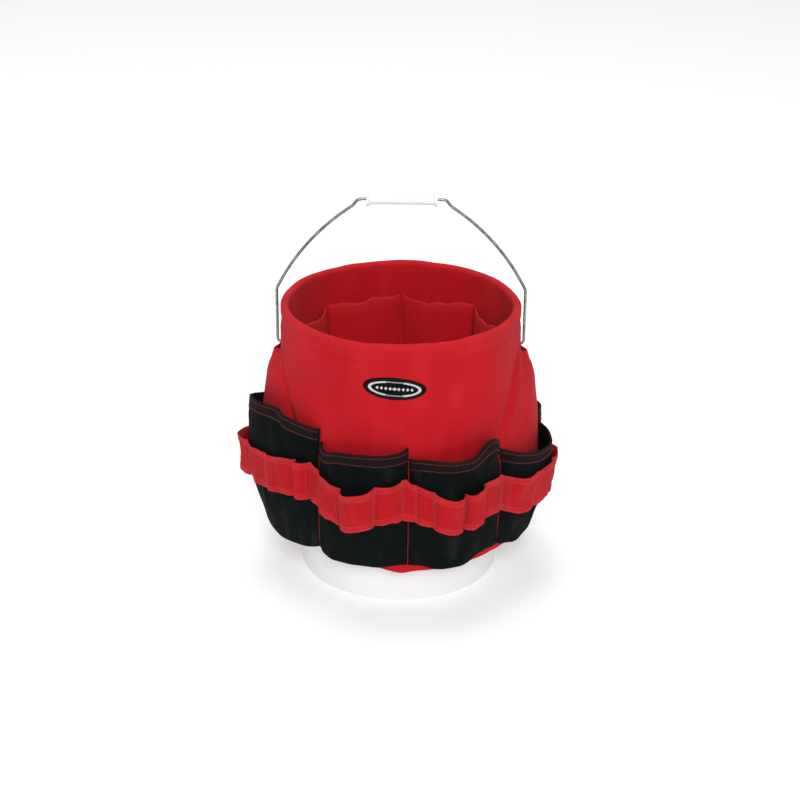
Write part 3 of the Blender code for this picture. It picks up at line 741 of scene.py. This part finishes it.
def organizer_section():
    """The red cloth's path up the skirt, over the rim and down inside, as (radius, height) pairs.

    The radius is None on the outside, where it comes from skirt().
    """
    heights = [*np.linspace(SKIRT_BOTTOM - 0.004, SLIT_BOTTOM, 96)]
    heights += [*np.linspace(SLIT_BOTTOM, SLIT_TOP, 15)[1:], *np.linspace(SLIT_TOP, ARCH_FOOT, 16)[1:]]
    outer = [(None, height) for height in heights]
    rise, inner = PAIL_HEIGHT + 0.0017 - ARCH_FOOT, lining(ARCH_FOOT)
    foot = float(skirt(np.array(0.0), np.array(ARCH_FOOT)))
    middle, reach = (foot + inner) / 2, (foot - inner) / 2
    turns = np.linspace(0, np.pi, 17)[1:]
    arch = [(middle + reach * math.cos(turn), ARCH_FOOT + rise * math.sin(turn)) for turn in turns]
    inside = [(lining(height), height) for height in np.linspace(ARCH_FOOT, LINER_BOTTOM, 70)[1:]]
    return outer + arch + inside


def make_organizer():
    """The red cloth in one piece: the skirt with its creases and slits, the roll over the rim, the lining."""
    columns = 576
    azimuth = np.arange(columns) * 360 / columns
    # Each ear's column is doubled, and the two are drawn apart where there is a slit.
    cuts = [columns // 4, columns * 3 // 4]
    side = np.zeros(columns)
    for cut in reversed(cuts):
        azimuth, side = np.insert(azimuth, cut, azimuth[cut]), np.insert(side, cut, 0)
        side[cut], side[cut + 1] = -1, 1
    section = organizer_section()
    height = np.array([place for _, place in section])[None, :]
    outside = np.array([radius is None for radius, _ in section])
    half = np.where(outside[None], half_slit(height), 0)
    ear = np.where(azimuth < 180, 90.0, 270.0)[:, None]
    offset = azimuth[:, None] - ear
    sign = np.where(side[:, None] != 0, side[:, None], np.sign(offset))
    near = np.abs(offset) < 12
    moved = np.where(near, sign * (half + np.abs(offset) * (1 - half / 12)), offset)
    place = ear + moved
    fixed = np.array([radius or 0.0 for radius, _ in section])[None, :]
    hump = 0.0002 * noise(place, height, 70, 0.05, 21) + 0.0008 * noise(place, height, 17, 0.09, 22)
    radius = np.where(outside[None], skirt(place, height), fixed + np.clip(hump, -0.001, 0.0004))
    rim = np.clip((height - 0.355) / 0.012, 0, 1)
    level = height + rim * 0.0008 * ripple(place, 40, 23)
    level = level + np.where(outside[None], foot_lift(place, height), 0)
    # The top of the roll over the rim is lightened, a painted highlight; the noise adds random lighter
    # patches.
    tone = 0.3 * bump(height - 0.3705, 0.006) + 0.25 * np.clip(noise(place, height, 40, 0.05, 24), 0, 1)
    mesh = grid_mesh("organizer_cloth", at(place, radius, level), (True, False), tone)
    shape = bmesh.new()
    shape.from_mesh(mesh)
    shape.verts.ensure_lookup_table()
    doubled = [{cut + extra, cut + extra + 1} for extra, cut in enumerate(cuts)]
    gone = [face for face in shape.faces if {v.index // len(section) for v in face.verts} in doubled]
    bmesh.ops.delete(shape, geom=gone, context="FACES_ONLY")
    bmesh.ops.remove_doubles(shape, verts=shape.verts, dist=2e-6)
    shape.to_mesh(mesh)
    shape.free()
    mesh.shade_smooth()
    cloth = add_piece("organizer_cloth", mesh, RED_CLOTH, "red_cloth", ["skirt", "rim_collar", "liner"])
    solid = cloth.modifiers.new("Thickness", "SOLIDIFY")
    solid.thickness = SKIRT_CLOTH * 0.85
    solid.offset = -1.0
    return cloth


def slit_edge(ear, name):
    """The turned and sewn edge of a slit."""
    turn = np.linspace(0, 2 * np.pi, 72, endpoint=False)
    share = (1 - np.cos(turn)) / 2
    height = SLIT_BOTTOM + (SLIT_TOP - SLIT_BOTTOM) * share
    side = np.where(turn < np.pi, 1, -1)
    place = ear + side * half_slit(height)
    path = at(place, skirt(place, height) - 0.0007, height)
    out = at(np.full_like(place, ear), np.ones_like(place), height * 0)
    across = np.cross(unit(np.roll(path, -1, 0) - np.roll(path, 1, 0)), out)
    around = np.linspace(0, 2 * np.pi, 10, endpoint=False)[None, :, None]
    points = path[:, None] + 0.001 * (np.cos(around) * across[:, None] + np.sin(around) * out[:, None])
    return add_grid(name, points, (True, True), 0, RED_CLOTH, "red_cloth")


def make_hem():
    """The folded hem round the bottom of the skirt, a little lower at the front seam."""
    azimuth = np.arange(720)[:, None] / 2
    seam = bump(wrapped(azimuth) - 1.0, 4.0)
    bottom = HEM_BOTTOM + 0.0012 * ripple(azimuth, 40, 31) - 0.0016 * seam
    bottom = bottom + foot_lift(azimuth, np.full_like(azimuth, HEM_BOTTOM))
    turn = np.linspace(-np.pi / 2, np.pi / 2, 7)[None, :]
    share = np.linspace(0, 1, 9)[None, 1:]
    face = skirt(azimuth, np.full_like(azimuth, 0.064)) + 0.001 + 0.0008 * ripple(azimuth, 90, 32)
    roll_radius = face + 0.0014 * seam - 0.0012 + 0.0012 * np.sin(turn)
    roll_height = bottom + 0.0012 - 0.0012 * np.cos(turn)
    out_height = roll_height[:, -1:] + (bottom + HEM_WIDTH - roll_height[:, -1:]) * share
    out_radius = np.broadcast_to(roll_radius[:, -1:], out_height.shape) - 0.0008 * share**2
    in_radius = np.broadcast_to(roll_radius[:, :1], out_height.shape)
    radius = np.concatenate([roll_radius, out_radius, in_radius], 1)
    height = np.concatenate([roll_height, out_height, out_height[:, ::-1]], 1)
    points, tone = at(azimuth, radius, height), 0.25 * bump(height - bottom, 0.002)
    hem = add_grid("skirt_hem_fold", points, (True, True), tone, RED_CLOTH, "red_cloth", ["skirt_hem"])
    line_height = bottom[:, 0] + 0.0065
    line = at(azimuth[:, 0], out_radius[:, 3] + 0.0001, line_height)
    facing = at(azimuth[:, 0], np.ones(len(azimuth)), line_height * 0)
    sewn = stitches("skirt_hem_stitches", [(line, facing)], RED_THREAD, 0.0032, 0.0014, 0.00035)
    return hem, sewn


def pocket_sheet(index):
    """The outer face of one pocket, from its bottom seam to its mouth, with the cloth sagging at the seam."""
    columns, rows = 110, 64
    across = (1 - np.cos(np.pi * np.linspace(0, 1, columns))) / 2
    across = (0.55 * np.linspace(0, 1, columns) + 0.45 * across)[:, None]
    up = np.linspace(0, 1, rows)[None, :] ** 1.25
    top = mouth(index, across)
    height = POCKET_BOTTOM + (top - POCKET_BOTTOM) * up
    # The gap between two pockets closes up towards the bottom.
    margin = 0.14 + 0.16 * np.clip((height - 0.1) / 0.09, 0, 1)
    left, right = POCKET_EDGES[index : index + 2]
    azimuth = left + margin + (right - left - 2 * margin) * across
    radius = pocket(azimuth, height)
    edge = np.minimum(across, 1 - across)
    low = np.clip(up / 0.24, 0, 1)
    drop = (1 - low) ** 2 * (1 - (1 - low) ** 6) / 0.47
    sag = softened(azimuth % 360, POCKET_SAG, 3.0) * (1 + 0.16 * ripple(azimuth, 34, 41))
    level = height + foot_lift(azimuth, height) - sag * drop * np.clip(0.3 + edge / 0.06, 0, 1)
    radius = radius + 0.15 * sag * drop
    gape = np.clip((up - 0.93) / 0.07, 0, 1)
    radius = radius + 0.001 * gape * np.sin(np.pi * across)
    return at(azimuth, radius, level), azimuth


def make_pocket(index):
    """One black pocket, with its bound mouth and the stitching of the binding."""
    number = f"{index + 1:02d}"
    points, azimuth = pocket_sheet(index)
    facing = normals(points)
    lightening = 0.5 * np.clip(noise(azimuth, points[..., 2], 90, 0.03, 51 + index), 0, 1) ** 2
    looks = (np.tile(lightening, (1, 2)), BLACK_CLOTH, "black_cloth", [f"pocket_{number}"])
    piece = add_grid(f"pocket_cloth_{number}", folded(points, POCKET_CLOTH), (False, True), *looks)
    # The tape: up the outside of the mouth, over its edge and down inside.
    run = run_along(points.mean(0))
    rows = np.interp(run[-1] - np.linspace(BINDING_WIDTH, 0, 13), run, np.arange(len(run)))
    low, part = np.floor(rows).astype(int), (rows % 1)[None, :, None]
    high = np.minimum(low + 1, len(run) - 1)
    band = points[:, low] * (1 - part) + points[:, high] * part
    out = facing[:, low] * (1 - part) + facing[:, high] * part
    swell = 0.00085 + 0.0003 * np.sin(np.linspace(0.15, np.pi, 13))[None, :, None]
    surface = band + out * (swell + 0.00018 * ripple(azimuth[:, :1], 300, 61)[:, :, None])
    arc = np.linspace(0, np.pi, 7)[None, 1:-1, None]
    reach = ((0.0013 + POCKET_CLOTH) * np.cos(arc) - POCKET_CLOTH / 2) * 0.95
    crown = band[:, -1:] + out[:, -1:] * reach + np.array([0, 0, 0.0016]) * np.sin(arc)
    inside = band[:, ::-1] - out[:, ::-1] * (POCKET_CLOTH + 0.0008)
    tape = np.concatenate([surface, crown, inside], 1)
    lightening = np.zeros(tape.shape[:2])
    lightening[:, 12:15] = 0.35
    looks = (lightening, TAPE, "binding_tape", [f"pocket_binding_{number}"])
    binding = add_grid(f"pocket_tape_{number}", tape, (False, True), *looks)
    lines = [(surface[2:-2, row], out[2:-2, row]) for row in (2, 10)]
    sewn = stitches(f"pocket_stitches_{number}", lines, RED_THREAD, 0.0031, 0.0009, 0.00038)


def make_seams():
    """The red thread down each seam between two pockets."""
    lines, foot = [], POCKET_BOTTOM + 0.0015
    for index, azimuth in enumerate(POCKET_SEAMS):
        top = min(mouth(index, 0.0), mouth(index - 1, 1.0))
        height = np.linspace(foot + foot_lift(azimuth, foot), top - 0.002, 60)
        place = np.full_like(height, azimuth)
        radius = skirt(place, height) + LAYER_GAP + POCKET_CLOTH + 0.0001
        lines.append((at(place, radius, height), at(place, np.ones_like(height), height * 0)))
    stitches("pocket_seam_stitches", lines, SEAM_THREAD, 0.003, 0.0008, 0.00048)


def webbing_sheet():
    """The outer face of the webbing right round, row by row from its lower edge."""
    columns, rows = 1440, 27
    azimuth = np.arange(columns)[:, None] * 360 / columns
    across = np.linspace(0, 1, rows)[None, :]
    line = softened(azimuth % 360, WEBBING_LINE, 2.2)
    # At the front seam the strip stands up in a small fold.
    tuck = bump(wrapped(azimuth) - 2.6, 1.9)
    lower = line + 0.0012 * ripple(azimuth, 40, 71)
    upper = line + WEBBING_WIDTH + 0.0014 * ripple(azimuth, 36, 72) + 0.0085 * tuck
    height = lower + (upper - lower) * across
    nearest = np.min([np.abs(wrapped(azimuth - stop)) for stop in WEBBING_STOPS], axis=0)
    pucker = bump(nearest, 0.55)
    frill = 0.0014 * noise(azimuth, height, 120, 0.05, 73) * (1 - pucker)
    edge = np.abs(2 * across - 1)
    radius = webbing(azimuth, height) - 0.0008 * pucker
    radius = radius + frill * (0.35 + 0.9 * edge**3) + 0.0006 * edge**3
    radius = radius + 0.0035 * tuck * across**2
    folds = np.clip(1 - np.abs(noise(azimuth + 60 * (height - 0.16), height, 110, 0.045, 74)) * 2.4, 0, 1)
    radius = radius + 0.0013 * folds * np.clip(nearest / 2, 0, 1)
    past_hem = edge - (1 - 2 * WEBBING_HEM / WEBBING_WIDTH)
    hem = np.clip(past_hem / 0.03, 0, 1)
    radius = radius - 0.0005 * bump(past_hem, 0.035) + 0.0008 * hem
    # The hem bands and folded edges are lightened, partly painted highlight and partly fading; it is lighter
    # too where sewn down, and in random patches.
    tone = 0.42 * hem + 0.3 * bump(edge - 1, 0.05) + 0.25 * pucker
    tone = tone + 0.2 * np.clip(noise(azimuth, height, 160, 0.02, 75), 0, 1)
    return at(azimuth, radius, height), tone


def make_webbing():
    """The webbing, hemmed along both edges and sewn down in lines, with its stitching."""
    points, tone = webbing_sheet()
    facing = normals(points, True)
    tone = np.concatenate([tone, tone[:, ::-1]], 1)
    looks = (tone, RED_WEBBING, "red_webbing", ["tool_webbing"])
    strip = add_grid("webbing_strip", folded(points, WEBBING_CLOTH, True), (True, True), *looks)
    ring, out = np.concatenate([points, points[:1]]), np.concatenate([facing, facing[:1]])
    lines = []
    for share in (0.03, 0.15, 0.85, 0.97):
        row = share * (points.shape[1] - 1)
        low, part = int(row), row % 1
        lines.append((ring[:, low] * (1 - part) + ring[:, low + 1] * part, out[:, low]))
    along = stitches("webbing_hem_stitches", lines, WEBBING_THREAD, 0.0028, 0.0012, 0.0003)
    places = [stop + shift for stop in WEBBING_STOPS for shift in (-0.35, 0.35)]
    columns = [int(round(place * len(points) / 360)) % len(points) for place in places]
    lines = [(points[column, 1:-1], facing[column, 1:-1]) for column in columns]
    down = stitches("webbing_bar_stitches", lines, WEBBING_THREAD, 0.0024, 0.0007, 0.00042)


def make_inner_pocket(index):
    """One red pocket on the lining, its mouth gaping and wavy."""
    low = INNER_SPAN * index + 0.7
    columns, rows = 90, 60
    across = np.linspace(0, 1, columns)[:, None]
    up = np.linspace(0, 1, rows)[None, :]
    azimuth = low + (INNER_SPAN - 1.4) * across
    top = INNER_TOP + 0.004 * np.sin(np.pi * across)
    top = top + 0.006 * ripple(azimuth, 26, 81) + 0.0025 * ripple(azimuth, 60, 82)
    height = INNER_BOTTOM + (top - INNER_BOTTOM) * up
    belly = (1 - (1 - up) ** 2.2) * (1 - 0.15 * up**4)
    width = np.sin(np.pi * across) ** 0.7
    wall = lining(height) - LAYER_GAP - 0.0006
    gape = 1 + 0.22 * ripple(azimuth, 16, 83) * up**2
    radius = wall - INNER_DEPTH * width * belly * gape
    wrinkle = 0.0016 * noise(azimuth, height, 34, 0.06, 84) + 0.0008 * noise(azimuth, height, 80, 0.03, 85)
    radius = radius + wrinkle * np.minimum(width, 1) * np.minimum(up * 5, 1)
    points = at(azimuth, radius, height)
    tone = 0.5 * bump(up - 1, 0.04) + 0.3 * bump(up - 0.94, 0.008)
    facing = normals(points)
    sheet = np.concatenate([points, (points + facing * POCKET_CLOTH)[:, ::-1]], 1)[:, ::-1]
    tone = np.concatenate([tone, tone[:, ::-1]], 1)
    looks = (tone, RED_CLOTH, "red_cloth", [f"inner_pocket_{index + 1}"])
    piece = add_grid(f"inner_pocket_cloth_{index + 1}", sheet, (False, True), *looks)
    row = int(rows * 0.955)
    hem = (points[2:-2, row], -facing[2:-2, row])
    sewn = stitches(f"inner_pocket_stitches_{index + 1}", [hem], RED_THREAD, 0.003, 0.0012, 0.00035)


def on_front(across, up, lift):
    """A point on the front of the skirt, at an offset from the badge's centre, turned with the badge."""
    tilt = math.radians(BADGE_TILT)
    x, z = across * math.cos(tilt) + up * math.sin(tilt), up * math.cos(tilt) - across * math.sin(tilt)
    azimuth = np.degrees((BADGE_ACROSS + x) / 0.158)
    height = BADGE_HEIGHT + z
    radius = softened(height, SKIRT_PROFILE, 0.012) + SKIRT_CLOTH + lift
    return at(azimuth, radius, height)


def make_badge():
    """The oval badge: a moulded rubber patch with a raised lip."""
    turn = np.linspace(0, 2 * np.pi, 160, endpoint=False)[:, None]
    share = np.array([0.0, 0.3, 0.6, 0.8, 0.9, 0.945, 0.97, 0.99, 1.0, 1.0])[None, :]
    lift = np.array([1.5, 1.5, 1.5, 1.5, 1.55, 1.75, 1.75, 1.5, 0.8, -1.2])[None, :] / 1000
    across, up = share * np.sin(turn) * BADGE_WIDTH / 2, -share * np.cos(turn) * BADGE_TALL / 2
    points = on_front(-across, up, lift)
    add_grid("badge_patch", points, (True, False), 0, BADGE_RUBBER, "badge_cloth", ["badge"])


def badge_blocks():
    """The outlines of a row of lozenges with a row of bars above it and below it."""
    for step in range(-4, 5):
        x, half = step * 0.0054, 0.0021 if step else 0.0032
        yield np.array([(x - half, 0), (x, -0.0024), (x + half, 0), (x, 0.0024)])
    corners = ((-1, -1), (1, -1), (1, 1), (-1, 1))
    for row in (-1, 1):
        for step in range(-3, 4):
            x, z = step * 0.003, row * (BADGE_TALL / 2 - 0.0056)
            yield np.array([(x + a * 0.0009, z + b * 0.0007) for a, b in corners])


def make_badge_print():
    """The badge's raised silver pattern: a plain ring in two arcs, with lozenges and bars inside it."""
    wide, tall = BADGE_WIDTH / 2 - 0.0085, BADGE_TALL / 2 - 0.0062
    low, high = BADGE_FACE - 0.0003, BADGE_FACE + BADGE_RAISED
    points, faces = [], []
    for middle in (0, np.pi):
        turns = np.linspace(middle - 1.22, middle + 1.22, 40)
        way = np.stack([np.cos(turns), np.sin(turns)], -1)
        outer, inner = way * (wide + 0.0022, tall + 0.002), way * (wide - 0.0022, tall - 0.0004)
        shoulder = (outer - inner) * 0.1
        start, count = len(points), len(turns)
        rows = ((outer, low), (outer - shoulder, high), (inner + shoulder, high), (inner, low))
        for row, lift in rows:
            points += on_front(*row.T, lift).tolist()
        for a in [start + row * count + k for row in range(3) for k in range(count - 1)]:
            faces.append([a, a + count, a + count + 1, a + 1])
        for end in (0, count - 1):
            faces.append([start + row * count + end for row in range(4)])
    for outline in badge_blocks():
        start, count, middle = len(points), len(outline), outline.mean(0)
        points += on_front(*outline.T, low).tolist()
        points += on_front(*(middle + (outline - middle) * 0.9).T, high).tolist()
        for a, b in zip(range(count), (*range(1, count), 0)):
            faces.append([start + a, start + b, start + count + b, start + count + a])
        faces.append([start + count + k for k in range(count)])
    mesh = new_mesh("badge_pattern", points, faces)
    shape = bmesh.new()
    shape.from_mesh(mesh)
    bmesh.ops.recalc_face_normals(shape, faces=shape.faces)
    shape.to_mesh(mesh)
    shape.free()
    add_piece("badge_pattern", mesh, BADGE_PRINT, "badge_print", ["badge_border"])


def make_badge_stitches():
    """The thread that holds the badge on, just inside its lip."""
    turn = np.linspace(0, 2 * np.pi, 161)
    across, up = np.cos(turn) * BADGE_WIDTH / 2, np.sin(turn) * BADGE_TALL / 2
    path = on_front(0.915 * across, 0.87 * up, BADGE_FACE)
    out = unit(on_front(across, up, 1.0) - path)
    stitches("badge_stitches", [(path, out)], BLACK_THREAD, 0.002, 0.0008, 0.00028)


# The floor, the light and the camera


def make_floor():
    """A plain white floor that glows a little."""
    mesh = new_mesh("floor", [(-15, -15, 0), (15, -15, 0), (15, 15, 0), (-15, 15, 0)], [(0, 1, 2, 3)])
    n = Nodes("floor_white")
    n.fix("Base Color", (0.94, 0.94, 0.94, 1))
    n.fix("Roughness", 0.9)
    n.fix("Emission Color", (1, 1, 1, 1))
    n.fix("Emission Strength", 0.2)
    mesh.materials.append(n.material)
    add_object("floor", mesh)


def add_light(name, place, size, power):
    light = bpy.data.lights.new(name, "AREA")
    light.shape = "DISK"
    light.size = size
    light.energy = power
    lamp = add_object(name, light)
    lamp.location = place
    lamp.rotation_euler = (Vector(CAMERA_TARGET) - Vector(place)).to_track_quat("-Z", "Y").to_euler()


def make_lights():
    world = bpy.data.worlds.new("studio")
    bpy.context.scene.world = world
    world.use_nodes = True
    background = world.node_tree.nodes["Background"]
    background.inputs["Color"].default_value = (1, 1, 1, 1)
    background.inputs["Strength"].default_value = 0.46
    add_light("key", (0.3, -5.4, 3.6), size=2.6, power=215)
    add_light("top", (-0.4, 1.0, 5.0), size=3.4, power=100)


def make_camera():
    data = bpy.data.cameras.new("camera")
    data.sensor_width = 36.0
    data.lens = CAMERA_LENS
    data.shift_x, data.shift_y = CAMERA_SHIFT
    camera = add_object("camera", data)
    tilt, target = math.radians(CAMERA_TILT), Vector(CAMERA_TARGET)
    camera.location = target + CAMERA_DISTANCE * Vector((0, -math.cos(tilt), math.sin(tilt)))
    roll = Quaternion((0, 0, 1), math.radians(CAMERA_ROLL))
    camera.rotation_euler = ((target - camera.location).to_track_quat("-Z", "Y") @ roll).to_euler()
    bpy.context.scene.camera = camera
    bpy.context.scene.view_settings.view_transform = "Standard"


def build():
    make_camera()
    make_lights()
    make_floor()
    make_pail()
    make_bail()
    make_grip()
    cloth = make_organizer()
    edges = [slit_edge(90.0, "slit_edge_right"), slit_edge(270.0, "slit_edge_left")]
    sewn_on = [*edges, *make_hem()]
    for index in range(len(POCKET_TOPS)):
        make_pocket(index)
    make_seams()
    make_webbing()
    for index in range(INNER_POCKETS):
        make_inner_pocket(index)
    make_badge()
    make_badge_print()
    make_badge_stitches()


build()
